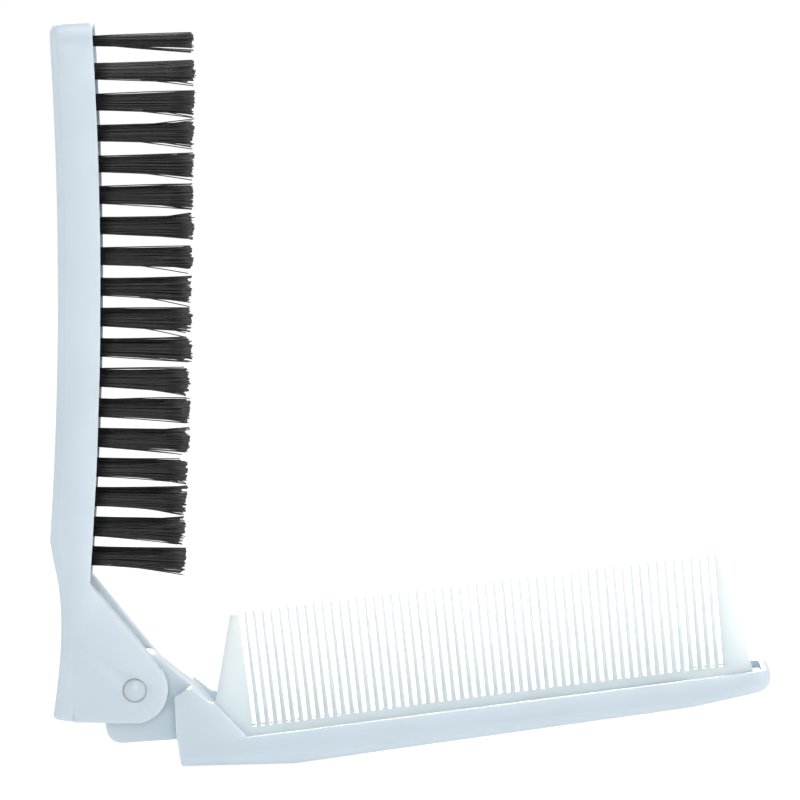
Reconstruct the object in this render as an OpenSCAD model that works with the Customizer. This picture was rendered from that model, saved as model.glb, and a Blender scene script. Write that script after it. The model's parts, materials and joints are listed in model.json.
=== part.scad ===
// Folding pocket brush and comb, with a mirror let into the back of the comb arm.
//
// Two moulded arms turn on one hinge pin. The comb arm is an open tray that
// stands on its flat heel; its tongue turns between the two ears of the brush
// arm. Folded, the comb teeth go into the slot of the tuft plate, and the
// bristle tips reach the tray's rim.
//
// Millimetres, +Z up. The origin is the centre of the heel's flat face, X runs
// along the comb arm, and the hinge axis is parallel to Y.

/* [Both arms] */
// Width of both arms, and the length of the hinge
arm_w = 22; // [20:0.5:26]
// Thickness of the side walls of both arms
wall = 1.5; // [1.2:0.1:1.8]
// Radius of the rounded corners at the far end of each arm, seen from above
end_r = 4.5; // [3:0.5:6]
// Radius of the long outer edges of each arm
edge_r = 1.8; // [1:0.1:2.2]
// Lean of the brush arm from upright, as it stands
rest_lean = 1.8; // [-5:0.1:10]

/* [Hinge] */
// Height of the hinge axis above the surface that the heel stands on
pin_h = 14; // [13:0.1:16]
// Diameter of the hinge pin
pin_d = 3; // [2.4:0.1:3.4]
// Diameter of the pin's domed heads
head_d = 4.3; // [4:0.1:5]
// Height of the pin's domed heads
head_h = 0.6; // [0.4:0.1:1]
// Radius of the round end of the brush arm's ears
ear_r = 5.9; // [5.2:0.1:6.2]
// Width of the comb arm's tongue
tongue_w = 10.2; // [8:0.2:12]
// Play between the tongue and each ear
side_play = 0.2; // [0.1:0.05:0.4]
// Radial play of the pin in the tongue
turn_play = 0.06; // [0.02:0.01:0.1]
// Radial play of the pin in the ears
grip_play = 0.01; // [0.01:0.01:0.03]

/* [Brush arm] */
// Length from the hinge axis to the far end
brush_len = 119.4; // [118:0.2:124]
// Thickness of the head, from rim to back
head_t = 7.6; // [7.2:0.1:8.4]
// Thickness of the head's back wall
back_t = 1.9; // [1.4:0.1:2.2]
// Radius of the head's long arch, along the rim
arch_r = 720; // [600:10:1200]
// Place of the arch's crown, along the arm from the hinge axis
crown_u = 68.5; // [60:0.5:76]
// Distance of the crown's rim behind the hinge axis
crown_v = 6.4; // [6:0.1:7]
// Place where the head ends and the neck begins
neck_u = 25; // [24:0.1:26]
// Angle of the slanted edge of the ears, off the arm's own length
slant = 39.8; // [36:0.2:42]
// Distance of the channel's floor behind the hinge axis
channel_v = 10.9; // [10.8:0.1:11.3]
// Length of the moulding mark at each ear's lower edge
mark_l = 1.6; // [1:0.1:2]
// Width and depth of that mark
mark_t = 0.25; // [0.15:0.05:0.4]
// Width of the cross ribs under the tuft plate
rib_t = 1.2; // [0.8:0.1:1.6]

/* [Tufts] */
// Depth of the tuft plate's face below the rim
plate_sink = 1.2; // [0.8:0.1:1.5]
// Thickness of the tuft plate
plate_t = 3.2; // [2.8:0.1:3.4]
// Width of the slot that takes the comb teeth
slot_w = 3.2; // [2.6:0.1:3.6]
// Number of tufts in a row
tufts = 17; // [9:1:17]
// Place of the first tuft, along the arm from the hinge axis
tuft_u = 23.1; // [22.9:0.1:25]
// Place of the last tuft, short of the arm's end
last_tuft_in = 9.3; // [9:0.1:12]
// How much nearer to the hinge the middle tufts are than evenly spaced ones
middle_shift = 0.55; // [0:0.05:1]
// Place of the single tuft beyond the slot, short of the arm's end
tip_tuft_in = 3.9; // [3.5:0.1:4.3]
// Share of the arch's lean that the tufts follow
tuft_follows = 0.3; // [0:0.1:1]
// Distance of the inner rows from the middle
row_in = 3.6; // [3.4:0.1:3.8]
// Distance of the outer rows from the middle
row_out = 7.6; // [7.3:0.1:7.7]
// Diameter of a tuft's hole
tuft_d = 2.2; // [2:0.1:2.3]
// Depth of a tuft's hole below its strip
hole_depth = 1.7; // [1.3:0.1:1.8]
// Width of the strip of plate that each row stands on
strip_w = 2.6; // [2.4:0.1:3]
// Thickness of that strip
strip_t = 0.8; // [0.6:0.1:1]
// Play round that strip
strip_play = 0.05; // [0.03:0.01:0.1]
// Play round the tuft plate
plate_play = 0.1; // [0.05:0.05:0.2]
// Distance of the bristle tips in front of the hinge axis, at the hinge end
tip_v = 8.9; // [8:0.1:9.2]
// The same at the middle of the head
tip_mid_v = 10.2; // [9.4:0.1:10.4]
// Radius of a strand at its root
strand_r = 0.3; // [0.24:0.02:0.32]
// Thickness of the wire anchors that hold the tufts
anchor_t = 0.35; // [0.25:0.05:0.5]
// Height of the wire anchors
anchor_h = 1.3; // [1:0.1:1.3]

/* [Comb arm] */
// Slope of the tray's rim above the heel
rim_slope = 5.5; // [5:0.1:7]
// Distance of the rim's crown below the hinge axis
rim_drop = 10.2; // [10:0.1:10.6]
// Radius of the rim's slight arch
rim_arch = 4500; // [3500:100:9000]
// Place of that arch's crown, along the arm from the hinge axis
rim_crown = 97; // [90:1:104]
// Length of the comb arm from the hinge axis, along the rim
comb_len = 113.2; // [112.4:0.2:118]
// Distance from the hinge axis to the face of the block
block_x = 7.1; // [7:0.1:7.4]
// Distance from the hinge axis to the end of the side walls' upper slope
cheek_end = 14; // [13.7:0.1:14.2]
// Distance from the hinge axis to the end of the flat heel
heel_end = 28.2; // [24:0.2:32]
// Place where the straight underside ends
straight_end = 98.4; // [96:0.2:102]
// Depth of the tray there, from the rim
straight_depth = 5.1; // [5:0.1:6]
// Depth of the tray at the far end
end_depth = 3.5; // [3.2:0.1:4.2]
// Thickness of the tray's floor
floor_t = 2.6; // [2.4:0.1:2.9]
// Height of the two ribs that hold the comb's foot
foot_rib_h = 1.5; // [1:0.1:2]
// Thickness of those ribs
foot_rib_t = 0.9; // [0.7:0.1:1.2]
// Distance of the tongue's lower edge below the hinge axis
tongue_drop = 10.2; // [9.4:0.1:10.2]
// Radius of the tongue round the hinge axis
tongue_r = 6.4; // [6:0.1:6.6]
// Slope of the ramp that runs on from the block's top into the tray
ramp_slope = 48.5; // [45:0.5:50]

/* [Comb] */
// Number of teeth
teeth = 55; // [31:2:55]
// Width of the gap between two teeth, at the foot
gap_w = 0.74; // [0.6:0.02:0.9]
// Width of a tooth at its tip
tip_w = 0.38; // [0.3:0.02:0.5]
// Thickness of the comb at its foot
comb_t = 2; // [1.6:0.1:2.2]
// Thickness of the teeth at their tips
comb_tip_t = 1; // [0.7:0.1:1.3]
// Height of the teeth above the rim
tooth_h = 20.85; // [19:0.1:20.9]
// Height of the closed spine above the rim
spine_h = 0.7; // [0.2:0.1:2]
// Angle by which the last tooth leans away from the hinge
fan = 2.2; // [0:0.1:2.4]
// Place of the first gap, along the rim from the hinge axis
teeth_from = 19.9; // [19.9:0.1:22]
// Place of the last gap's far side, short of the comb arm's end
teeth_in = 8.1; // [8:0.1:11]
// Width of the guard tooth at each end, at its tip
guard_tip = 1.6; // [1:0.1:2]
// Play between the comb's foot and what holds it
comb_play = 0.05; // [0.03:0.01:0.1]

/* [Mirror] */
// Length of the mirror
mirror_l = 64; // [40:1:64]
// Width of the mirror
mirror_w = 15; // [10:0.5:17]
// Thickness of the glass
mirror_t = 1.2; // [0.8:0.1:1.2]
// Thickness of the adhesive pad under the glass
pad_t = 0.2; // [0.1:0.05:0.3]
// Radius of the mirror's corners
mirror_r = 2; // [1:0.5:4]
// Distance from the end of the heel to the mirror
mirror_in = 3.5; // [2:0.5:6]
// Play round the glass
mirror_play = 0.15; // [0.1:0.05:0.3]
// Depth of the glass below the underside
mirror_sink = 0.1; // [0:0.05:0.2]

/* [Hidden] */

shell_colour = [0.78, 0.85, 0.90];
comb_colour = [0.84, 0.91, 0.92];
bristle_colour = [0.05, 0.05, 0.06];
fine = 64;           // sides of a drawn circle
hole_sides = 10;     // sides of a tuft's hole
arc_step = 7;        // degrees from point to point of a corner's arc
past = 3;            // how far a cut runs past the face that it opens
round_steps = 5;     // steps of a rounded long edge

comb_nose = 2.2;     // radius of the underside's turn at the comb arm's far end
brush_nose = 1.8;    // the same of the brush arm's back
rim_short = 0.8;     // how far the comb arm's rim ends before its far end
rim_from = 19;       // place where that rim begins, from the hinge axis
cheek_z = -2.6;      // height of the side walls at the end of their upper slope
cheek_step = [-0.8, 0.1];  // from there to the step before it
block_top = [10.1, 0];     // top edge of the comb arm's block
block_lip = [9.3, -0.1];   // where its front slope ends
block_front = -1.5;  // height of that slope's foot
block_in = -2.5;     // height at which the tongue joins the block
block_lean = 0.15;   // how far the block's face leans back at the bend in its foot
foot_in = 0.8;       // the same at the heel
guard_base = -4.35;  // height at which the first guard tooth leaves the ramp
foot_turn = 0.6;     // share of the block's height at which its foot starts to lean
foot_rise = 0.6;     // rise of the tongue's lower edge towards the block
foot_r = 2.8;        // radius of the tongue's lower corner
ear_foot = -5.35;    // place of the ears' lower end
ear_cut = 0.55;      // size of the cut corner there
ear_side = -5.85;    // the same at the channel's floor
heel_v = -14.57;     // the back's distance behind the hinge axis, there
neck_dip = -12.6;    // the same where the neck is thinnest
rib_step = 15;       // distance from cross rib to cross rib
sunk = 0.4;          // how far a rib goes into what it stands on
seat_gap = 0.02;     // gap under a part that is seated
anchor_play = 0.1;   // play beside a wire anchor
tip_fall = 0.6;      // how much lower the bristle tips are at the far end than in the middle
flare = 1.75;        // spread of a tuft's strands from root to tip
guard_foot = 5.2;    // length of the last guard tooth's foot
guard_short = 0.3;   // how much lower the first guard tooth is than the teeth

half_w = arm_w / 2;
inner_w = half_w - wall;
channel_w = tongue_w + 2 * side_play;

// ---- plane geometry ----

function unit(v) = v / norm(v);
function turned(v, a) = [v[0] * cos(a) - v[1] * sin(a), v[0] * sin(a) + v[1] * cos(a)];
function ramp(x, x0, x1, y0, y1) = y0 + (y1 - y0) * (x - x0) / (x1 - x0);
function bezier(a, b, c, d, n) =
    [for (k = [0 : n]) let (t = k / n, s = 1 - t)
        s * s * s * a + 3 * s * s * t * b + 3 * s * t * t * c + t * t * t * d];

// The arc of radius r that rounds the corner p between a and b.
function corner_arc(a, p, b, r) =
    let (to_a = unit(a - p), to_b = unit(b - p),
         half = acos(to_a * to_b) / 2,
         middle = p + unit(to_a + to_b) * r / sin(half),
         spoke = p + to_a * r / tan(half) - middle,
         sweep = 180 - 2 * half,
         side = to_a[0] * to_b[1] - to_a[1] * to_b[0] < 0 ? 1 : -1,
         n = max(1, ceil(sweep / arc_step)))
    [for (k = [0 : n]) middle + turned(spoke, side * sweep * k / n)];

// A closed outline from corners [x, z, radius]; a corner with radius 0 stays sharp.
function outline(corners) =
    let (n = len(corners), at = [for (c = corners) [c[0], c[1]]])
    [for (i = [0 : n - 1])
        each corners[i][2] == 0 ? [at[i]]
            : corner_arc(at[(i + n - 1) % n], at[i], at[(i + 1) % n], corners[i][2])];

// The half width of an arm at s, where its far end at s_end has corners of radius r.
function plan_half(s, s_end, r) =
    s < s_end - r ? half_w : half_w - r + sqrt(max(0, r * r - pow(s - s_end + r, 2)));

// How much a corner of radius r lifts the back at s, close to the far end.
function nose(s, s_end, r) = s < s_end - r ? 0 : r - sqrt(max(0, r * r - pow(s - s_end + r, 2)));

// The stations of the rounded far end, closer together towards the end.
function end_stations(s_end, r) = [for (a = [0 : 15 : 90]) s_end - r + r * sin(a) * (a < 90 ? 1 : 0.999)];

// ---- solid helpers ----

// An outline in the XZ plane, w wide along Y.
module slab(points, w) {
    rotate([90, 0, 0]) linear_extrude(w, center = true) polygon(points);
}

// A rectangle on the XY plane from x0 to x1, its far corners rounded.
module rounded_end(x0, x1, half, r) {
    translate([x0, -half]) square([x1 - r - x0, 2 * half]);
    translate([x0, r - half]) square([x1 - x0, 2 * (half - r)]);
    for (side = [-1, 1]) translate([x1 - r, side * (half - r)]) circle(r, $fn = fine);
}

// A rectangle with four round corners, centred.
module rounded_plate(l, w, r) {
    square([l - 2 * r, w], center = true);
    square([l, w - 2 * r], center = true);
    for (x = [-1, 1]) for (y = [-1, 1]) translate([x * (l / 2 - r), y * (w / 2 - r)]) circle(r, $fn = fine);
}

// One cross-section of an arm's outer form: flat in front, with round edges behind.
// A station is [place along X, back, front, half width, slope of its plane, rim].
function section(st) =
    let (r = edge_r, w = st[3],
         bow = [for (k = [0 : round_steps]) let (a = 90 * k / round_steps) r * [1 - cos(a), 1 - sin(a)]],
         half = concat([[w, st[2]]], [for (b = bow) [w - b[0], st[1] + b[1]]]),
         n = len(half) - 1,
         loop = concat(half, [for (k = [n : -1 : 0]) [-half[k][0], half[k][1]]]))
    [for (p = loop) [st[0] + (p[1] - st[5]) * st[4], p[0], p[1]]];

// The loft through all stations.
module arm_form(stations) {
    m = len(section(stations[0]));
    n = len(stations);
    polyhedron(
        points = [for (st = stations) each section(st)],
        faces = concat(
            [[for (j = [m - 1 : -1 : 0]) j]],
            [[for (j = [0 : m - 1]) (n - 1) * m + j]],
            [for (i = [0 : n - 2]) for (j = [0 : m - 1]) let (k = (j + 1) % m, a = i * m, b = a + m)
                each [[a + j, b + k, b + j], [a + j, a + k, b + k]]]),
        convexity = 4);
}

// ---- frames ----
// The comb arm is drawn from the hinge axis, with X along the heel. The brush
// arm is drawn lying along X, its bristle side up, and stands up at the hinge.

heel_from = block_x + foot_in;
origin_x = (heel_from + heel_end) / 2;

module comb_arm_frame() {
    translate([-origin_x, 0, pin_h]) children();
}

module brush_arm_frame() {
    comb_arm_frame() rotate([0, rest_lean - 90, 0]) rotate([180, 0, 0]) children();
}

// A point given along the comb arm and above its teeth's base line, from the hinge
// axis, in the comb arm's frame; and the same above the rim, which is arched.
function on_line(s, h) = turned([s, h - rim_drop], rim_slope);
function on_rim(s, h) = on_line(s, h - pow(s - rim_crown, 2) / (2 * rim_arch));

// ---- comb arm ----

straight_pt = on_rim(straight_end, -straight_depth);
end_pt = on_rim(comb_len, -end_depth);
tip_x = on_rim(comb_len, 0)[0];
under_slope = atan2(straight_pt[1] + pin_h, straight_pt[0] - heel_end);
toe_slope = atan2(end_pt[1] - straight_pt[1], end_pt[0] - straight_pt[0]);
rim_start = on_rim(rim_from, 0);
cheek_pt = [cheek_end, cheek_z];
foot_bend = [block_x + block_lean, -pin_h * foot_turn];

function under_z(x) =
    x < heel_end ? -pin_h
    : x < straight_pt[0] ? ramp(x, heel_end, straight_pt[0], -pin_h, straight_pt[1])
    : ramp(x, straight_pt[0], end_pt[0], straight_pt[1], end_pt[1]);

tray_stations = concat(
    [for (x = [block_x, heel_end, straight_pt[0]]) [x, under_z(x), past, half_w, 0, 0]],
    [for (x = end_stations(tip_x, end_r))
        [x, under_z(x) + nose(x, tip_x, comb_nose), past, plan_half(x, tip_x, end_r), -tan(rim_slope), on_rim(x, 0)[1]]]);

// What lies above the block's top, the slopes of the side walls and the rim.
above = outline([
    [each (block_x - past - block_lip[0]) * (block_lip - [block_x, block_front]) / (block_lip[0] - block_x)
        + block_lip, 0],
    [each block_lip, 0.5],
    [each block_top, 0.4],
    [each cheek_pt + cheek_step, 0.4],
    [each cheek_pt, 0.5],
    [each rim_start, 0.8],
    for (s = [30 : 10 : rim_crown]) [each on_rim(s, 0), 0],
    [each on_rim(comb_len - rim_short, 0), 0.5],
    [each on_rim(comb_len + 1, -1.5 * rim_short), 0],
    [comb_len + 4 * past, 3 * past, 0],
    [block_x - past, 3 * past, 0]]);

// What lies in front of the block's leaning foot.
foot_arc = corner_arc(foot_bend, [heel_from, -pin_h], [heel_end, -pin_h], 1);
before_foot = concat([[block_x - past, past], [block_x, past], [block_x, block_front], foot_bend], foot_arc,
                     [[foot_arc[len(foot_arc) - 1][0], -pin_h - past], [block_x - past, -pin_h - past]]);

// The ramp from the block's top edge, and the floor's upper face, floor_t above the underside.
function on_ramp(z) = [block_top[0] + (block_top[1] - z) / tan(ramp_slope), z];
function floor_pt(x, a) = [x - floor_t * sin(a), under_z(x) + floor_t * cos(a)];
floor_line = [on_ramp(-pin_h + floor_t),
              [heel_end - floor_t * tan(under_slope / 2), -pin_h + floor_t],
              floor_pt(straight_pt[0], under_slope),
              floor_pt(end_pt[0], toe_slope)];

// The tongue: round about the hinge axis, and straight on to the block's top, with a
// square foot that turns close in front of the channel's floor.
tongue_slope = asin(tongue_r / norm(block_top)) - atan2(block_top[1], block_top[0]);
tongue_steps = 18;
tongue_side = concat(
    [for (k = [0 : tongue_steps]) let (a = ramp(k, 0, tongue_steps, 90 - tongue_slope, 180)) tongue_r * [cos(a), sin(a)]],
    corner_arc([-tongue_r, 0], [-tongue_drop / 2, -tongue_drop], [block_x, -tongue_drop + foot_rise], foot_r),
    [[block_x + 1, -tongue_drop + foot_rise], [block_x + 1, block_in], block_top]);

module comb_tray() {
    color(shell_colour) comb_arm_frame() difference() {
        union() {
            difference() {
                arm_form(tray_stations);
                slab(above, arm_w + past);
                slab(before_foot, arm_w + past);
                trough();
            }
            slab(tongue_side, tongue_w);
            foot_ribs();
        }
        rotate([90, 0, 0]) cylinder(h = tongue_w + past, r = pin_d / 2 + turn_play, center = true, $fn = fine);
        mirror_place() translate([0, 0, -past])
            linear_extrude(past + mirror_sink + mirror_t + pad_t)
                rounded_plate(mirror_l + 2 * mirror_play, mirror_w + 2 * mirror_play, mirror_r + mirror_play);
    }
}

// The tray's inside, open above.
module trough() {
    intersection() {
        slab(concat(floor_line, [[comb_len + past, past], on_ramp(past)]), arm_w);
        translate([0, 0, -pin_h]) linear_extrude(pin_h + 2 * past)
            rounded_end(0, tip_x - wall, inner_w, end_r - wall);
    }
}

// Two ribs on the tray's floor, with the comb's foot between them.
module foot_ribs() {
    low = [floor_line[1], floor_line[2]];
    lift = foot_rib_h * [-sin(under_slope), cos(under_slope)];
    for (side = [-1, 1])
        translate([0, side * (comb_t / 2 + comb_play + foot_rib_t / 2), 0])
            slab([low[0] - [0, sunk], low[1] - [0, sunk], low[1] + lift, low[0] + lift], foot_rib_t);
}

// ---- comb ----

teeth_to = comb_len - teeth_in;
pitch = (teeth_to - teeth_from - gap_w) / teeth;

// The outline of tooth k: its foot on the spine, its tip fanned away from the hinge.
function tooth(k) =
    let (s = teeth_from + gap_w + (k + 0.5) * pitch - gap_w / 2,
         foot = (pitch - gap_w) / 2,
         lean = (tooth_h - spine_h) * tan(fan * k / (teeth - 1)))
    [on_rim(s - foot, spine_h),
     on_line(s + lean - tip_w / 2, tooth_h - tip_w),
     on_line(s + lean - tip_w / 4, tooth_h),
     on_line(s + lean + tip_w / 4, tooth_h),
     on_line(s + lean + tip_w / 2, tooth_h - tip_w),
     on_rim(s + foot, spine_h)];

guard_x = on_rim(teeth_to + guard_foot, 0)[0];

comb_side = concat(
    [floor_line[0] + [comb_play, 0],
     on_ramp(guard_base) + [comb_play, 0],
     on_line(teeth_from - guard_tip, tooth_h - guard_short),
     on_line(teeth_from, tooth_h - guard_short),
     on_rim(teeth_from, spine_h)],
    [for (k = [0 : teeth - 1]) each tooth(k)],
    [on_rim(teeth_to, spine_h),
     on_line(teeth_to + tooth_h * tan(fan), tooth_h),
     on_line(teeth_to + tooth_h * tan(fan) + guard_tip * 0.7, tooth_h),
     on_rim(teeth_to + guard_foot, -1),
     floor_pt(guard_x, toe_slope) + [0, 0.1],
     floor_line[2],
     floor_line[1]]);

module comb() {
    color(comb_colour) comb_arm_frame() intersection() {
        slab(comb_side, comb_t);
        rotate([0, -rim_slope, 0]) translate([comb_len / 2, 0, -rim_drop])
            rotate([90, 0, 90]) linear_extrude(comb_len + 2 * past, center = true)
                polygon([[-comb_t / 2 - 1, -pin_h], [comb_t / 2 + 1, -pin_h],
                         [comb_t / 2 + 1, 0], [comb_t / 2, 0],
                         [comb_tip_t / 2, tooth_h + past], [-comb_tip_t / 2, tooth_h + past],
                         [-comb_t / 2, 0], [-comb_t / 2 - 1, 0]]);
    }
}

// ---- mirror ----

// The middle of the mirror's place on the underside, +Z into the arm.
module mirror_place() {
    along = mirror_in + mirror_l / 2;
    translate([heel_end + along * cos(under_slope), 0, -pin_h + along * sin(under_slope)])
        rotate([0, -under_slope, 0]) children();
}

module mirror_glass() {
    color("silver") comb_arm_frame() mirror_place() translate([0, 0, mirror_sink])
        linear_extrude(mirror_t) rounded_plate(mirror_l, mirror_w, mirror_r);
}

module mirror_pad() {
    color("white") comb_arm_frame() mirror_place() translate([0, 0, mirror_sink + mirror_t])
        linear_extrude(pad_t) rounded_plate(mirror_l, mirror_w, mirror_r);
}

// ---- brush arm ----
// Along its own length u from the hinge axis; v is towards the bristle side.

// The rim's arch, and the lean of its normal towards the far end.
function arch(u) = -crown_v - arch_r + sqrt(arch_r * arch_r - pow(u - crown_u, 2));
function lean(u) = asin((u - crown_u) / arch_r);
function arch_line(u0, u1, sink) = [for (k = [0 : 16]) let (u = ramp(k, 0, 16, u0, u1)) [u, arch(u) - sink]];

neck_curve = bezier([ear_foot + ear_cut, heel_v], [8, neck_dip], [neck_u - 8.5, neck_dip - 0.3], [neck_u - 2.4, heel_v], 10);
slant_u = (ear_r - arch(19) * cos(slant)) / sin(slant);
pocket_u = neck_u - 4;
pocket_end = brush_len - wall;
plate_low = plate_sink + plate_t;
tip_u = brush_len - tip_tuft_in;
last_u = brush_len - last_tuft_in;
slot_end = last_u + 0.6;

brush_stations = concat(
    [[-2 * ear_r, heel_v, 2 * past, half_w, 0, 0]],
    [for (p = neck_curve) [p[0], p[1], 2 * past, half_w, 0, 0]],
    [for (k = [0 : 14]) let (u = ramp(k, 0, 14, neck_u + 1, brush_len - end_r - 2))
        [u, arch(u) - head_t, 2 * past, half_w, tan(lean(u)), arch(u)]],
    [for (u = end_stations(brush_len, end_r))
        [u, arch(u) - head_t + nose(u, brush_len, brush_nose), 2 * past, plan_half(u, brush_len, end_r),
         tan(lean(u)), arch(u)]]);

// What lies in front of the ears, the slanted edge and the rim.
ahead = concat(
    [[-4 * ear_r, heel_v - past], [ear_foot + ear_cut, heel_v - past], [ear_foot + ear_cut, heel_v],
     [ear_foot, heel_v + ear_cut], [ear_side + mark_t / 2, -channel_v], [ear_side, -channel_v + mark_t / 2],
     [-ear_r, 0]],
    [for (a = [-arc_step : -arc_step : slant - 173]) ear_r * [-cos(a), -sin(a)]],
    [ear_r * [sin(slant), cos(slant)]],
    arch_line(slant_u, brush_len - 1, 0),
    [[brush_len + 0.5, arch(brush_len) - plate_sink], [brush_len + 4 * past, arch(brush_len) - plate_sink],
     [brush_len + 4 * past, 4 * past], [-4 * ear_r, 4 * past]]);

module brush_shell() {
    color(shell_colour) brush_arm_frame() difference() {
        union() {
            difference() {
                arm_form(brush_stations);
                slab(ahead, arm_w + past);
                head_pocket();
            }
            cross_ribs();
        }
        slab([[-2 * ear_r, -channel_v], [pocket_u + 1, -channel_v], [pocket_u + 1, 4 * past],
              [-2 * ear_r, 4 * past]], channel_w);
        rotate([90, 0, 0]) cylinder(h = arm_w + past, r = pin_d / 2 + grip_play, center = true, $fn = fine);
        for (side = [-1, 1]) translate([ear_side + (mark_l - past) / 2, side * half_w, -channel_v])
            cube([past + mark_l, 2 * mark_t, mark_t], center = true);
    }
}

// The head's inside, open on the bristle side.
module head_pocket() {
    intersection() {
        slab(concat(arch_line(pocket_u, pocket_end + 1, head_t - back_t), [[pocket_end + 1, past], [pocket_u, past]]),
             arm_w);
        translate([0, 0, -pin_h - 2 * past]) linear_extrude(pin_h + 4 * past)
            rounded_end(pocket_u - past, pocket_end, inner_w, end_r - wall);
    }
}

// Ribs across the head's inside, which carry the tuft plate.
module cross_ribs() {
    for (u = [pocket_u + rib_step - 3 : rib_step : pocket_end - rib_step / 2])
        slab(concat(arch_line(u - rib_t / 2, u + rib_t / 2, plate_low + seat_gap),
                    [[u + rib_t / 2, arch(u) - head_t + back_t - sunk],
                     [u - rib_t / 2, arch(u) - head_t + back_t - sunk]]), 2 * inner_w + sunk);
}

// ---- tufts ----

row_y = [-row_out, -row_in, row_in, row_out];
row_us = [for (k = [0 : tufts - 1]) let (t = k / (tufts - 1))
    tuft_u + (last_u - tuft_u) * t - 4 * middle_shift * t * (1 - t)];

// Stands what it holds on the arch at u: z = 0 on the plate's face, +Z along the normal.
module on_arch(u, y) {
    translate([u, y, arch(u) - plate_sink]) rotate([0, lean(u), 0]) children();
}

// A layer that follows the arch, from depth d0 to depth d1 below the plate's face.
module arch_layer(u0, u1, d0, d1, w) {
    top = arch_line(u0, u1, plate_sink + d0);
    low = arch_line(u0, u1, plate_sink + d1);
    slab(concat(top, [for (k = [len(low) - 1 : -1 : 0]) low[k]]), w);
}

// Does the same at every tuft: four rows, and one tuft beyond the slot.
module each_tuft() {
    for (y = row_y) for (u = row_us) on_arch(u, y) children();
    on_arch(tip_u, 0) children();
}

// The room for the strips that the tufts stand on.
module strips(w, extra, d0, d1) {
    half = strip_w / 2 + extra;
    for (y = row_y) translate([0, y, 0]) arch_layer(tuft_u - half, last_u + half, d0, d1, w);
    arch_layer(tip_u - half, tip_u + half, d0, d1, w);
}

module tuft_plate() {
    color(shell_colour) brush_arm_frame() difference() {
        intersection() {
            arch_layer(pocket_u + plate_play, pocket_end, 0, plate_t, arm_w);
            translate([0, 0, -pin_h - 2 * past]) linear_extrude(pin_h + 4 * past)
                rounded_end(pocket_u, pocket_end - plate_play, inner_w - plate_play, end_r - wall);
        }
        translate([0, 0, -pin_h - 2 * past]) linear_extrude(pin_h + 4 * past)
            rounded_end(pocket_u - past, slot_end, slot_w / 2, slot_w / 2 - 0.01);
        strips(strip_w + 2 * strip_play, strip_play, -1, strip_t);
        each_tuft() translate([0, 0, -strip_t - hole_depth])
            cylinder(h = hole_depth + 0.3, r = tuft_d / 2, $fn = hole_sides);
    }
}

// The line to which the tips are trimmed, as a curve through three places.
function tip_line(u) =
    let (t = (u - tuft_u) / (last_u - tuft_u))
    tip_v * (1 - t) * (1 - 2 * t) + tip_mid_v * 4 * t * (1 - t) + (tip_mid_v - tip_fall) * t * (2 * t - 1);

// One three-sided strand from inside the strip to its tip, as points and faces.
strand_faces = [[0, 1, 2], [5, 4, 3], [0, 3, 4], [0, 4, 1], [1, 4, 5], [1, 5, 2], [2, 5, 3], [2, 3, 0]];
function ring(c, r) = [for (a = [0, 120, 240]) [c[0] + r * cos(a), c[1] + r * sin(a), c[2]]];

// The strands of one tuft: one in the middle and five round it, spread at the tips.
root_ring = tuft_d / 2 - strand_r;
function tuft_strands(u, y, seed) =
    let (slope = lean(u) * tuft_follows,
         reach = (tip_line(u) - arch(u)) / cos(slope) + plate_sink,
         cut = rands(-0.35, 0.25, 6, seed),
         turn = rands(0, 72, 1, seed + 500)[0])
    [for (k = [0 : 5])
        let (dir = k == 0 ? [0, 0] : [cos(turn + 72 * k), sin(turn + 72 * k)],
             foot = concat(dir * root_ring, [-strip_t / 2]),
             tip = concat(dir * root_ring * flare, [reach + cut[k]]))
        [for (p = concat(ring(foot, strand_r), ring(tip, strand_r * 0.8)))
            [u + p[0] * cos(slope) + p[2] * sin(slope), y + p[1],
             arch(u) - plate_sink - p[0] * sin(slope) + p[2] * cos(slope)]]];

module strands(us, y, seed) {
    all = [for (k = [0 : len(us) - 1]) each tuft_strands(us[k], y, seed + k)];
    polyhedron(points = [for (s = all) each s],
               faces = [for (i = [0 : len(all) - 1]) for (f = strand_faces) [for (c = f) c + len(all[0]) * i]],
               convexity = 10);
}

module bristle_row(us, y, seed) {
    color(bristle_colour) brush_arm_frame() union() {
        translate([0, y, 0])
            arch_layer(us[0] - strip_w / 2, us[len(us) - 1] + strip_w / 2, 0, strip_t - seat_gap, strip_w);
        strands(us, y, seed);
    }
}

module bristle_row_1() { bristle_row(row_us, row_y[0], 100); }
module bristle_row_2() { bristle_row(row_us, row_y[1], 200); }
module bristle_row_3() { bristle_row(row_us, row_y[2], 300); }
module bristle_row_4() { bristle_row(row_us, row_y[3], 400); }
module bristle_tip() { bristle_row([tip_u], 0, 50); }

module tuft_anchors() {
    color("silver") brush_arm_frame() each_tuft()
        translate([-anchor_t / 2, anchor_play - tuft_d / 2, -strip_t - hole_depth])
            cube([anchor_t, tuft_d - 2 * anchor_play, anchor_h]);
}

// ---- hinge pin ----

// Half of the pin's outline: shank, and a domed head at each end.
dome_r = (pow(head_d / 2, 2) + pow(head_h, 2)) / (2 * head_h);
dome = [for (k = [0 : 6]) let (x = head_d / 2 * (1 - k / 6))
    [x, half_w + head_h - dome_r + sqrt(dome_r * dome_r - x * x)]];

module hinge_pin() {
    color(comb_colour) comb_arm_frame() rotate([90, 0, 0]) {
        cylinder(h = arm_w + 0.2, r = pin_d / 2, center = true, $fn = fine);
        for (side = [0, 180]) rotate([side, 0, 0])
            rotate_extrude($fn = fine) polygon(concat([[0, half_w]], dome));
    }
}

comb_tray();
comb();
mirror_glass();
mirror_pad();
brush_shell();
tuft_plate();
bristle_row_1();
bristle_row_2();
bristle_row_3();
bristle_row_4();
bristle_tip();
tuft_anchors();
hinge_pin();
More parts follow.
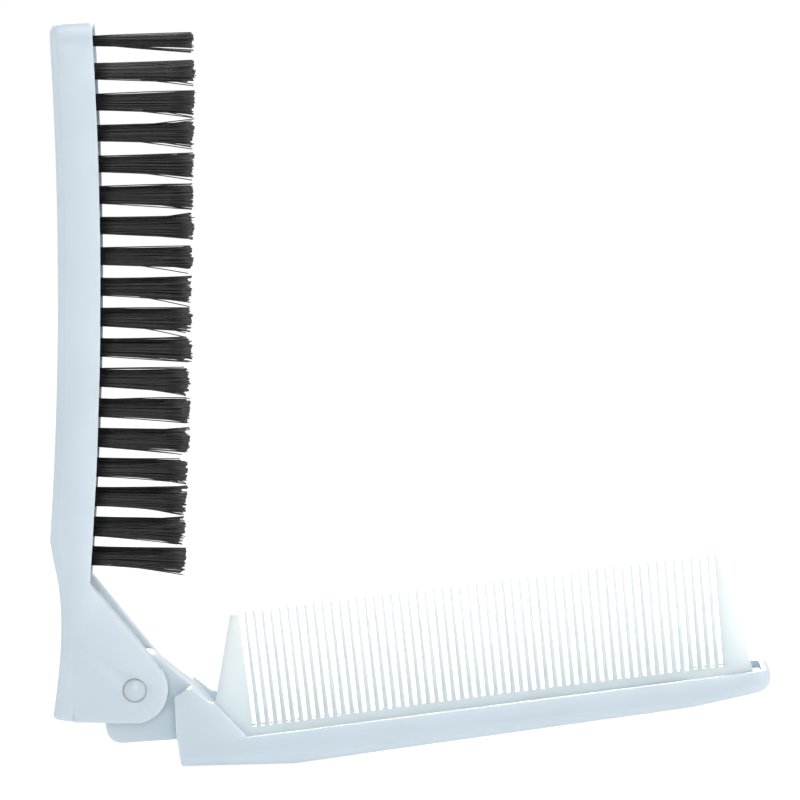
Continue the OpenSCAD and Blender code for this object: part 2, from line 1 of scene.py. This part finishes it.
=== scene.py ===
# %% [markdown]
# # A folding hairbrush and comb
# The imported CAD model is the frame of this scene: it holds the two moulded
# arms, the comb, the tuft plate and the hinge pin at their real size, in metres.
# Blender adds what a solid modeller does badly: thousands of fine bristles, a
# silvered mirror with a ground edge, softly rounded moulded edges, and plastic
# that looks moulded. The frame is loaded first, and its box is kept, because
# nothing that is added here may reach outside it.

# %% Load the frame
import json
import math
import random

import bmesh
import bpy
from mathutils import Matrix, Vector


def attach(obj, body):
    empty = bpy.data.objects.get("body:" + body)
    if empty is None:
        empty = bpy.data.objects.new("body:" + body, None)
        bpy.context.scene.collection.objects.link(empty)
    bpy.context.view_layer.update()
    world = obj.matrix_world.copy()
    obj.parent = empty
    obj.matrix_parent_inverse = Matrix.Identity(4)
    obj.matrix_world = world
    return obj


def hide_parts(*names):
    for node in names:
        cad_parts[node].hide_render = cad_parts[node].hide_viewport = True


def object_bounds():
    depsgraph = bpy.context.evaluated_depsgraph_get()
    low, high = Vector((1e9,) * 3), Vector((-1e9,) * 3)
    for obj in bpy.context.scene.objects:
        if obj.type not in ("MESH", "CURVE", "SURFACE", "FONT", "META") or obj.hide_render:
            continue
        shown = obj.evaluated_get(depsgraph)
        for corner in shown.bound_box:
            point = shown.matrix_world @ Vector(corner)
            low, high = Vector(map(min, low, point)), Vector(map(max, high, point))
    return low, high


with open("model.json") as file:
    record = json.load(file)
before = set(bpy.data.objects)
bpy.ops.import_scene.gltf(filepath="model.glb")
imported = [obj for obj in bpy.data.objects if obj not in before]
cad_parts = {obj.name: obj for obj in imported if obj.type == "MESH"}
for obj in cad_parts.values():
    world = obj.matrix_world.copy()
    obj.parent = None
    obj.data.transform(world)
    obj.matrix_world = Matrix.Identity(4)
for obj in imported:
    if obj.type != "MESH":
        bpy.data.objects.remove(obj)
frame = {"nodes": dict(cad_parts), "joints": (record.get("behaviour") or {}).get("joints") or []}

cad_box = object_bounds()
nodes = frame["nodes"]
print("nodes:", sorted(nodes))

# %% [markdown]
# ## Units and the hinge
# All sizes of this object are known in millimetres, so one constant turns them
# into Blender's metres. The hinge axis is read from the frame's own joint, and
# every other place is counted from it, which keeps the bristles on their arm
# even if the arm moves in the CAD model.

# %% Millimetres, the hinge axis and the brush arm's own directions
MM = 0.001
PIN = Vector(frame["joints"][0]["pos_m"])
REST_LEAN = math.radians(1.8)
ALONG = Vector((math.sin(REST_LEAN), 0, math.cos(REST_LEAN)))
AHEAD = Vector((math.cos(REST_LEAN), 0, -math.sin(REST_LEAN)))
ACROSS = Vector((0, 1, 0))


def on_brush(u, y, v):
    """A point u mm along the brush arm, y mm across it and v mm in front of the hinge axis."""
    return PIN + (ALONG * u + ACROSS * y + AHEAD * v) * MM


print("hinge axis at", [round(c / MM, 2) for c in PIN], "mm")

# %% [markdown]
# ## The camera comes first
# The photograph was taken with a long lens from two metres away, a few degrees
# above the table, with the camera turned by a degree and a half. A camera
# needs a place, a direction and a focal length. Here all three follow from
# measured facts: how many millimetres fill the picture's width, and where the
# hinge axis lies in the frame.

# %% Camera
CAMERA_ELEVATION = math.radians(4.85)
CAMERA_ROLL = math.radians(1.46)
CAMERA_DISTANCE = 2000 * MM
PICTURE_WIDTH = 142.9 * MM          # at the near ends of the hinge pin
CENTRE_RIGHT = 47.4 * MM            # from the pin to the picture's centre
CENTRE_UP = 51.9 * MM
NEAR_SIDE = -11 * MM
SENSOR = 36.0


def make_camera():
    look = Vector((0, math.cos(CAMERA_ELEVATION), -math.sin(CAMERA_ELEVATION)))
    level_up = Vector((0, math.sin(CAMERA_ELEVATION), math.cos(CAMERA_ELEVATION)))
    level_right = Vector((1, 0, 0))
    right = level_right * math.cos(CAMERA_ROLL) - level_up * math.sin(CAMERA_ROLL)
    up = level_right * math.sin(CAMERA_ROLL) + level_up * math.cos(CAMERA_ROLL)
    target = PIN + Vector((0, NEAR_SIDE, 0)) + right * CENTRE_RIGHT + up * CENTRE_UP
    place = target - look * CAMERA_DISTANCE
    camera = bpy.data.objects.new("camera", bpy.data.cameras.new("camera"))
    bpy.context.scene.collection.objects.link(camera)
    turn = Matrix((right, up, -look)).transposed().to_4x4()
    camera.matrix_world = Matrix.Translation(place) @ turn
    camera.data.sensor_width = SENSOR
    camera.data.lens = SENSOR * CAMERA_DISTANCE / PICTURE_WIDTH
    camera.data.clip_start = 0.1
    camera.data.clip_end = 20
    return camera


bpy.context.scene.camera = make_camera()
print("lens:", round(bpy.context.scene.camera.data.lens), "mm")

# %% [markdown]
# ## Material helpers
# A procedural material is a small graph: a place on the object goes into a
# noise, the noise goes through a range, and the result drives colour,
# roughness or height. A few short helpers keep each recipe readable. Numbers that
# are the same all over a surface are set on the shader itself.

# %% Node helpers
def new_material(name, **sockets):
    """A material with one Principled shader; sockets are its constant inputs."""
    material = bpy.data.materials.new(name)
    material.use_nodes = True
    tree = material.node_tree
    shader = tree.nodes["Principled BSDF"]
    for key, value in sockets.items():
        shader.inputs[key.replace("_", " ")].default_value = value
    return material, tree, shader


def noise(tree, size_mm, detail=3.0):
    """Noise whose features are about size_mm wide."""
    place = tree.nodes.new("ShaderNodeTexCoord")
    mapping = tree.nodes.new("ShaderNodeMapping")
    mapping.inputs["Scale"].default_value = (1 / (size_mm * MM),) * 3
    grain = tree.nodes.new("ShaderNodeTexNoise")
    grain.inputs["Scale"].default_value = 1
    grain.inputs["Detail"].default_value = detail
    tree.links.new(place.outputs["Object"], mapping.inputs["Vector"])
    tree.links.new(mapping.outputs["Vector"], grain.inputs["Vector"])
    return grain.outputs["Fac"]


NOISE_LOW, NOISE_HIGH = 0.3, 0.7     # nearly all of a noise lies between these


def spread(tree, value, low, high):
    """Maps a noise to numbers from low to high."""
    ranger = tree.nodes.new("ShaderNodeMapRange")
    for key, number in (("From Min", NOISE_LOW), ("From Max", NOISE_HIGH),
                        ("To Min", low), ("To Max", high)):
        ranger.inputs[key].default_value = number
    tree.links.new(value, ranger.inputs["Value"])
    return ranger.outputs["Result"]


def between(tree, value, dark, light):
    """Maps a noise to colours from dark to light."""
    ramp = tree.nodes.new("ShaderNodeValToRGB")
    first, last = ramp.color_ramp.elements
    first.position, last.position = NOISE_LOW, NOISE_HIGH
    first.color, last.color = (*dark, 1), (*light, 1)
    tree.links.new(value, ramp.inputs["Fac"])
    return ramp.outputs["Color"]


def bump(tree, height, depth_mm, strength):
    """A bump whose whole height is depth_mm at a strength of 1."""
    node = tree.nodes.new("ShaderNodeBump")
    node.inputs["Strength"].default_value = strength
    node.inputs["Distance"].default_value = depth_mm * MM
    tree.links.new(height, node.inputs["Height"])
    return node.outputs["Normal"]


def tinted(colour, factor):
    """The colour, lighter or darker by factor."""
    return tuple(channel * factor for channel in colour)


print("noises are read from", NOISE_LOW, "to", NOISE_HIGH)

# %% [markdown]
# ## Moulded plastic
# Both arms are one pale blue plastic, satin from the mould. Mouldings are never
# quite even: the colour clouds a little where the melt met, the gloss changes
# from patch to patch, and the face has a very fine grain. A little light goes
# through thin walls, so the shader lets some in below the surface. The comb is
# paler and lets in more.

# %% The pale blue plastic of the arms, and its three relatives
CLOUDING = 0.02                     # how much lighter and darker the clouds are than the colour
CLOUD_MM, GLOSS_MM, GRAIN_MM = 14, 3, 0.35
GRAIN_DEPTH_MM, GRAIN_STRENGTH = 0.004, 0.5
SMOOTHER, ROUGHER = 0.05, 0.06      # the roughness of the patches, against the plastic's own


def moulded_plastic(name, colour, roughness, glow=0.4, depth_mm=1.5):
    """A moulded plastic; glow is the share of light that goes in, down to about depth_mm."""
    material, tree, shader = new_material(
        name, Subsurface_Weight=glow, Subsurface_Scale=depth_mm * MM, IOR=1.49)
    shader.inputs["Subsurface Radius"].default_value = (1, 1, 1)
    clouds = between(tree, noise(tree, CLOUD_MM), tinted(colour, 1 - CLOUDING), tinted(colour, 1 + CLOUDING))
    gloss = spread(tree, noise(tree, GLOSS_MM), roughness - SMOOTHER, roughness + ROUGHER)
    grain = bump(tree, noise(tree, GRAIN_MM, detail=2), GRAIN_DEPTH_MM, GRAIN_STRENGTH)
    tree.links.new(clouds, shader.inputs["Base Color"])
    tree.links.new(gloss, shader.inputs["Roughness"])
    tree.links.new(grain, shader.inputs["Normal"])
    return material


SHELL_BLUE = (0.585, 0.672, 0.733)
COMB_BLUE = (0.79, 0.90, 0.91)

arm_plastic = moulded_plastic("arm_plastic", SHELL_BLUE, 0.38)
plate_plastic = moulded_plastic("plate_plastic", tinted(SHELL_BLUE, 0.97), 0.5)
comb_plastic = moulded_plastic("comb_plastic", COMB_BLUE, 0.34, glow=0.9, depth_mm=5)
pin_plastic = moulded_plastic("pin_plastic", tinted(SHELL_BLUE, 0.97), 0.3)
print("plastics:", [m.name for m in (arm_plastic, plate_plastic, comb_plastic, pin_plastic)])

# %% [markdown]
# ## The arms, the comb and the pin
# These shapes are right in the CAD model, so its own nodes are shown. A CAD
# edge is perfectly sharp, though, and no moulded edge is: the tool's corner
# always leaves a small radius, and that radius is what catches the light. The
# modifiers merge the flat facets, round every real edge, and leave the mesh
# itself alone.

# %% Round the moulded edges
WELD_MM = 0.002
SHARP_DEG = 28                      # edges sharper than this are rounded
EDGE_SEGMENTS = 3


def dress(name, material, edge_mm, flat_deg=0.6):
    """Gives a CAD node its material and rounds its edges to edge_mm; facets within flat_deg merge."""
    node = nodes[name]
    node.data.materials.clear()
    node.data.materials.append(material)
    for face in node.data.polygons:
        face.use_smooth = True
        face.material_index = 0
    weld = node.modifiers.new("weld", "WELD")
    weld.merge_threshold = WELD_MM * MM
    flat = node.modifiers.new("flat", "DECIMATE")
    flat.decimate_type = "DISSOLVE"
    flat.angle_limit = math.radians(flat_deg)
    if edge_mm:
        edge = node.modifiers.new("edge", "BEVEL")
        edge.width = edge_mm * MM
        edge.segments = EDGE_SEGMENTS
        edge.limit_method = "ANGLE"
        edge.angle_limit = math.radians(SHARP_DEG)
        edge.use_clamp_overlap = True
        edge.harden_normals = True
    print(f"{name}: {material.name}, edges {edge_mm} mm")


ARM_EDGE_MM, PLATE_EDGE_MM, TOOTH_EDGE_MM = 0.22, 0.08, 0.1
COMB_FLAT_DEG = 1.7                 # merges the faint crease in the comb's taper too
dress("comb_tray", arm_plastic, ARM_EDGE_MM)
dress("brush_shell", arm_plastic, ARM_EDGE_MM)
dress("tuft_plate", plate_plastic, PLATE_EDGE_MM)
dress("comb", comb_plastic, TOOTH_EDGE_MM, flat_deg=COMB_FLAT_DEG)
dress("hinge_pin", pin_plastic, 0)

# %% [markdown]
# ## The mirror
# A small mirror is a plate of glass, silvered behind, with its edge ground to
# a bevel so that it can be handled. The plate's shape is already right in the
# CAD model, so the same edge modifier makes the bevel here, only wider, and
# gives it a second material: the face is silvered, the ground band is dull and
# a little green. The pad of foam behind it and the wire anchors in the tuft
# plate get their finishes here too.

# %% Mirror glass and its ground edge
def silver():
    """The silvered face: a nearly perfect mirror."""
    material, tree, shader = new_material("silvered_glass", Metallic=1.0)
    tree.links.new(between(tree, noise(tree, 20), (0.86, 0.88, 0.88), (0.90, 0.92, 0.92)),
                   shader.inputs["Base Color"])
    tree.links.new(spread(tree, noise(tree, 6), 0.015, 0.05), shader.inputs["Roughness"])
    return material


def ground_glass():
    """The ground band round the mirror."""
    material, tree, shader = new_material("ground_glass", Metallic=0.6)
    tree.links.new(between(tree, noise(tree, 2), (0.55, 0.66, 0.63), (0.62, 0.72, 0.70)),
                   shader.inputs["Base Color"])
    tree.links.new(spread(tree, noise(tree, 0.6), 0.25, 0.45), shader.inputs["Roughness"])
    return material


BEVEL_MM = 0.3
GROUND_SLOT = 1                     # the second material of the mirror's plate
dress("mirror_glass", silver(), BEVEL_MM)
nodes["mirror_glass"].data.materials.append(ground_glass())
nodes["mirror_glass"].modifiers["edge"].material = GROUND_SLOT
dress("mirror_pad", moulded_plastic("adhesive_pad", (0.75, 0.75, 0.73), 0.8, glow=0.02), 0)


def anchor_wire():
    """Drawn wire, a little dull."""
    material, tree, shader = new_material("anchor_wire", Metallic=1.0)
    tree.links.new(between(tree, noise(tree, 1), (0.55, 0.54, 0.52), (0.68, 0.67, 0.64)),
                   shader.inputs["Base Color"])
    tree.links.new(spread(tree, noise(tree, 0.4), 0.25, 0.4), shader.inputs["Roughness"])
    return material


dress("tuft_anchors", anchor_wire(), 0)

# %% [markdown]
# ## Bristles
# A nylon tuft is a bundle of some dozens of straight filaments, folded round a
# wire and driven into a hole. The filaments leave the hole tightly packed and
# spread towards the trimmed tips, and a few wisps have sprung out of line. Each
# filament is a thin five-sided tube on a slightly bent line; a tuft is a disc of
# such tubes, and a row is a loop of tufts. Particle hair would be quicker, but
# it isn't a mesh, and the kept model needs real geometry.

# %% The arch that the tufts stand on
ARCH_R, CROWN_U, CROWN_V = 720, 68.5, 6.4
PLATE_SINK = 1.2
BRUSH_LEN = 119.4
TUFTS = 17
FIRST_TUFT_U, LAST_TUFT_U = 23.1, BRUSH_LEN - 9.3
MIDDLE_SHIFT = 0.55                 # how much nearer to the hinge the middle tufts are than evenly spaced
TIP_TUFT_U = BRUSH_LEN - 3.9
TUFT_FOLLOWS = 0.3                  # share of the arch's lean that the tufts follow
ROWS = {"bristle_row_1": -7.6, "bristle_row_2": -3.6, "bristle_row_3": 3.6, "bristle_row_4": 7.6}


def arch(u):
    """How far in front of the hinge axis the rim lies, u mm along the arm: negative, so behind it."""
    return -CROWN_V - ARCH_R + math.sqrt(ARCH_R ** 2 - (u - CROWN_U) ** 2)


def lean(u):
    """The arch's slope at u, as an angle."""
    return math.asin((u - CROWN_U) / ARCH_R)


def tuft_place(k):
    """How far along the arm the tuft k stands, in mm."""
    t = k / (TUFTS - 1)
    return FIRST_TUFT_U + (LAST_TUFT_U - FIRST_TUFT_U) * t - 4 * MIDDLE_SHIFT * t * (1 - t)


row_us = [tuft_place(k) for k in range(TUFTS)]
print("tufts of a row at", [round(u, 1) for u in row_us], "mm")

TIP_V, TIP_RISE, TIP_DROOP = 8.75, 2.4, 1.2


def tip_line(u):
    """How far in front of the hinge axis the trimmed tips lie: lowest at the hinge."""
    t = (u - FIRST_TUFT_U) / (LAST_TUFT_U - FIRST_TUFT_U)
    return TIP_V + TIP_RISE * t - TIP_DROOP * t ** 2


def on_plate(u, y, along, across, height, follows=1.0):
    """A point over the plate's face at the tuft (u, y): along and across it, and height above it."""
    a = lean(u) * follows
    return on_brush(u + along * math.cos(a) + height * math.sin(a), y + across,
                    arch(u) - PLATE_SINK - along * math.sin(a) + height * math.cos(a))


# %% One filament and one tuft
FILAMENTS = 46
WISPS, WISP = 2, 3                  # wisps in a tuft that sprung out, and filaments in a wisp
TRIM_STEP = 0.6                     # the trimmed tips keep their height over this length of the arm
HOLE_R = 1.1
FILAMENT_R = 0.1
ROOT_DEPTH = 0.7                    # how deep in its hole a filament starts
TIP_CROWN = 0.08                    # how fast a tuft's tips fall off from its middle
LATE_SPREAD, EARLY_SPREAD = 1.4, 0.7   # exponents: rows spread near their tips, the tip tuft at its root
SIDES, STATIONS = 5, 5
GOLDEN = math.pi * (3 - math.sqrt(5))


def add_tube(mesh, line, radius):
    """A tube along the points of line, closed at its far end."""
    start = (line[1] - line[0]).normalized()
    side = start.cross(ACROSS).normalized()
    other = start.cross(side)
    rings = []
    for point in line:
        rings.append([mesh.verts.new(point + (side * math.cos(a) + other * math.sin(a)) * radius * MM)
                      for a in (2 * math.pi * k / SIDES for k in range(SIDES))])
    for low, high in zip(rings, rings[1:]):
        for k in range(SIDES):
            mesh.faces.new((low[k], low[(k + 1) % SIDES], high[(k + 1) % SIDES], high[k]))
    mesh.faces.new(rings[-1])
    mesh.faces.new(list(reversed(rings[0])))


trim_rng = random.Random(5)
TRIM_LOW, TRIM_HIGH, TRIM_USUAL, TRIM_STEPS = -1.4, 0.25, -0.05, 300
TRIM = [trim_rng.triangular(TRIM_LOW, TRIM_HIGH, TRIM_USUAL) for _ in range(TRIM_STEPS)]
FLARE, SIDE_FLARE = (1.5, 1.85), 1.2   # how far the tips spread along the arm, and across it
WISP_OUT = (0.8, 2.1)
HINGE_TILT = 0.35                   # tufts tilt more towards the hinge the nearer they stand to it
TIP_PACK = 0.9                      # the tip tuft is a little thinner


def add_tuft(mesh, u, y, rng):
    """Tightly packed at the root, spread and raggedly trimmed at the tips, with a few wisps."""
    a = lean(u) * TUFT_FOLLOWS
    reach = (tip_line(u) - arch(u)) / math.cos(a) + PLATE_SINK
    near_hinge = (LAST_TUFT_U - u) / (LAST_TUFT_U - FIRST_TUFT_U)
    packed = (HOLE_R - FILAMENT_R) * (TIP_PACK if y == 0 else 1.0)
    flare = rng.uniform(*FLARE)
    wisps = [rng.choice((-1, -1, 1)) * rng.uniform(*WISP_OUT) for _ in range(WISPS)]
    tilt = (-0.1 - HINGE_TILT * near_hinge + rng.gauss(0, 0.12), rng.gauss(0, 0.06))
    for k in range(FILAMENTS):
        r = packed * math.sqrt((k + 0.5) / FILAMENTS)
        a = k * GOLDEN
        root = (r * math.cos(a), r * math.sin(a))
        tip = [root[0] * flare + tilt[0] + rng.gauss(0, 0.14),
               root[1] * SIDE_FLARE + tilt[1] + rng.gauss(0, 0.09)]
        bow = (rng.gauss(0, 0.07), rng.gauss(0, 0.05))
        trim = TRIM[int((u + tip[0]) / TRIM_STEP)]
        top = reach + trim - TIP_CROWN * tip[0] ** 2 + rng.uniform(-0.25, 0.15)
        if k < WISPS * WISP:
            tip[0] += wisps[k // WISP] if u < row_us[-1] else -abs(wisps[k // WISP])
        line = []
        for step in range(STATIONS):
            t = step / (STATIONS - 1)
            belly = 4 * t * (1 - t)
            spread_at = t ** (EARLY_SPREAD if y == 0 else LATE_SPREAD)
            line.append(on_plate(u, y,
                                 root[0] + (tip[0] - root[0]) * spread_at + bow[0] * belly,
                                 root[1] + (tip[1] - root[1]) * spread_at + bow[1] * belly,
                                 -ROOT_DEPTH + (top + ROOT_DEPTH) * t, TUFT_FOLLOWS))
        add_tube(mesh, line, FILAMENT_R)


# %% [markdown]
# ## The strips that the tufts stand in
# In the CAD model each row stands on its own strip of the plate. The filaments
# replace that row, so the strip is drawn again here, with a real round hole
# for each tuft: a ring of faces from the hole's edge out to the strip's sides,
# and a wall that goes down into the plate.

# %% A strip with holes
STRIP_W, STRIP_T = 2.6, 0.78
HOLE_SIDES = 24


def add_strip(mesh, centres, y):
    """A strip under the tufts at centres, one square cell with a hole for each."""
    half_w = STRIP_W / 2
    for i, u in enumerate(centres):
        low = -half_w if i == 0 else (centres[i - 1] - u) / 2
        high = half_w if i == len(centres) - 1 else (centres[i + 1] - u) / 2
        outer, edge, bottom = [], [], []
        for k in range(HOLE_SIDES):
            a = 2 * math.pi * k / HOLE_SIDES
            c, s = math.cos(a), math.sin(a)
            reach = min((high if c > 0 else -low) / max(abs(c), 1e-6), half_w / max(abs(s), 1e-6))
            outer.append(mesh.verts.new(on_plate(u, y, reach * c, reach * s, 0)))
            edge.append(mesh.verts.new(on_plate(u, y, HOLE_R * c, HOLE_R * s, 0)))
            bottom.append(mesh.verts.new(on_plate(u, y, HOLE_R * c, HOLE_R * s, -STRIP_T)))
        for k in range(HOLE_SIDES):
            n = (k + 1) % HOLE_SIDES
            mesh.faces.new((outer[k], outer[n], edge[n], edge[k]))
            mesh.faces.new((edge[k], edge[n], bottom[n], bottom[k]))


# %% Nylon, and the rows
def nylon():
    """Drawn black nylon, uneven in gloss."""
    material, tree, shader = new_material("black_nylon", IOR=1.53)
    tree.links.new(between(tree, noise(tree, 0.5), (0.006, 0.006, 0.007), (0.016, 0.015, 0.016)),
                   shader.inputs["Base Color"])
    tree.links.new(spread(tree, noise(tree, 0.8), 0.32, 0.5), shader.inputs["Roughness"])
    return material


black_nylon = nylon()


def finish_piece(mesh, name, material, body, node):
    """Turns a bmesh into a piece that rides on body and stands for node."""
    bmesh.ops.recalc_face_normals(mesh, faces=mesh.faces)
    data = bpy.data.meshes.new(name)
    mesh.to_mesh(data)
    mesh.free()
    for face in data.polygons:
        face.use_smooth = True
    data.materials.append(material)
    piece = bpy.data.objects.new(name, data)
    bpy.context.scene.collection.objects.link(piece)
    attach(piece, body)
    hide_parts(node)
    print(f"{name}: {len(data.polygons)} faces")


places = {name: (row_us, y) for name, y in ROWS.items()}
places["bristle_tip"] = ([TIP_TUFT_U], 0.0)

rng = random.Random(11)
for name, (centres, y) in places.items():
    hair, strip = bmesh.new(), bmesh.new()
    for u in centres:
        add_tuft(hair, u, y, rng)
    add_strip(strip, centres, y)
    finish_piece(hair, name.replace("bristle", "nylon"), black_nylon, "brush_arm", name)
    finish_piece(strip, name.replace("bristle", "strip"), plate_plastic, "brush_arm", name)

# %% [markdown]
# ## Floor, backdrop and light
# The photograph was lit so evenly that the background burnt out to white. Five
# wide lamps, a weak sky and the floor's own glow light everything at about the
# level at which a colour renders as it is written. The floor is white for the
# camera, but keeps a faint reflection and shadow. Just past the hinge it steps
# down, so that the brush arm, laid open, hangs over the edge.

# %% Floor
def seen_directly(tree):
    """1 where the camera, a reflection or a refraction looks at a surface, 0 where it only gives light."""
    ray = tree.nodes.new("ShaderNodeLightPath")
    total = ray.outputs["Is Camera Ray"]
    for kind in ("Is Glossy Ray", "Is Transmission Ray"):
        either = tree.nodes.new("ShaderNodeMath")
        either.operation = "MAXIMUM"
        tree.links.new(total, either.inputs[0])
        tree.links.new(ray.outputs[kind], either.inputs[1])
        total = either.outputs[0]
    return total


FLOOR_GLOW = 0.45                   # the light that the floor throws up at the object
FLOOR_WHITE = 0.8                   # share of plain white in what the camera sees of the floor


def floor_material():
    """White to look at, with a faint reflection and shadow, and a soft glow."""
    material, tree, shader = new_material("pale_floor", Roughness=0.22, Emission_Strength=FLOOR_GLOW)
    shader.inputs["Base Color"].default_value = (0.6, 0.6, 0.6, 1)
    shader.inputs["Emission Color"].default_value = (1, 1, 1, 1)
    glow = tree.nodes.new("ShaderNodeEmission")
    mix = tree.nodes.new("ShaderNodeMixShader")
    seen = tree.nodes.new("ShaderNodeMath")
    seen.operation = "MULTIPLY"
    seen.inputs[1].default_value = FLOOR_WHITE
    tree.links.new(seen_directly(tree), seen.inputs[0])
    tree.links.new(seen.outputs[0], mix.inputs["Fac"])
    tree.links.new(shader.outputs["BSDF"], mix.inputs[1])
    tree.links.new(glow.outputs["Emission"], mix.inputs[2])
    tree.links.new(mix.outputs["Shader"], tree.nodes["Material Output"].inputs["Surface"])
    return material


FLOOR_SIZE = 12
FLOOR_DROP = 30 * MM                # deeper than the brush arm hangs when it is laid open
FLOOR_GAP = 0.05 * MM               # keeps the heel's face clear of the floor's
floor_edge = cad_box[0][0] - 3 * MM
pale_floor = floor_material()
for name, x, z in (("floor", floor_edge + FLOOR_SIZE / 2, -FLOOR_GAP),
                   ("lower_floor", floor_edge - FLOOR_SIZE / 2, -FLOOR_DROP)):
    bpy.ops.mesh.primitive_plane_add(size=FLOOR_SIZE, location=(x, 0, z))
    plane = bpy.context.object
    plane.name = name
    plane.data.materials.append(pale_floor)
print("the floor steps down at x =", round(floor_edge, 4))

# %% World and lamps
scene = bpy.context.scene
world = bpy.data.worlds.new("studio")
scene.world = world
world.use_nodes = True
sky = world.node_tree.nodes["Background"]
sky.inputs["Color"].default_value = (0.95, 0.965, 1.0, 1)
sky.inputs["Strength"].default_value = 0.3
white = world.node_tree.nodes.new("ShaderNodeBackground")
white.inputs["Color"].default_value = (1, 1, 1, 1)
choice = world.node_tree.nodes.new("ShaderNodeMixShader")
link = world.node_tree.links.new
link(seen_directly(world.node_tree), choice.inputs["Fac"])
link(sky.outputs["Background"], choice.inputs[1])
link(white.outputs["Background"], choice.inputs[2])
link(choice.outputs["Shader"], world.node_tree.nodes["World Output"].inputs["Surface"])


def soft_lamp(name, place, aim, width, power):
    """A round lamp of the given width in metres and power in watts, turned to aim."""
    lamp = bpy.data.objects.new(name, bpy.data.lights.new(name, "AREA"))
    lamp.data.shape = "DISK"
    lamp.data.size = width
    lamp.data.energy = power
    lamp.location = place
    lamp.rotation_euler = (Vector(aim) - Vector(place)).to_track_quat("-Z", "Y").to_euler()
    scene.collection.objects.link(lamp)


MIDDLE = (0.03, 0, 0.06)
LAMPS = {                           # name: place, power
    "top": ((0.15, 0.1, 1.1), 5.0), "front": ((0.1, -1.5, 0.35), 6.6), "back": ((0, 1.5, 0.5), 7.5),
    "left": ((-1.2, -0.2, 0.4), 3.2), "right": ((1.2, -0.3, 0.5), 5.2)}
TOP_WIDTH, SIDE_WIDTH = 0.7, 0.6
for name, (place, power) in LAMPS.items():
    soft_lamp(name, place, MIDDLE, TOP_WIDTH if name == "top" else SIDE_WIDTH, power)
scene.view_settings.view_transform = "Standard"
print("lamps:", sorted(LAMPS))

# %% Print the CAD box
print("CAD box:", cad_box)
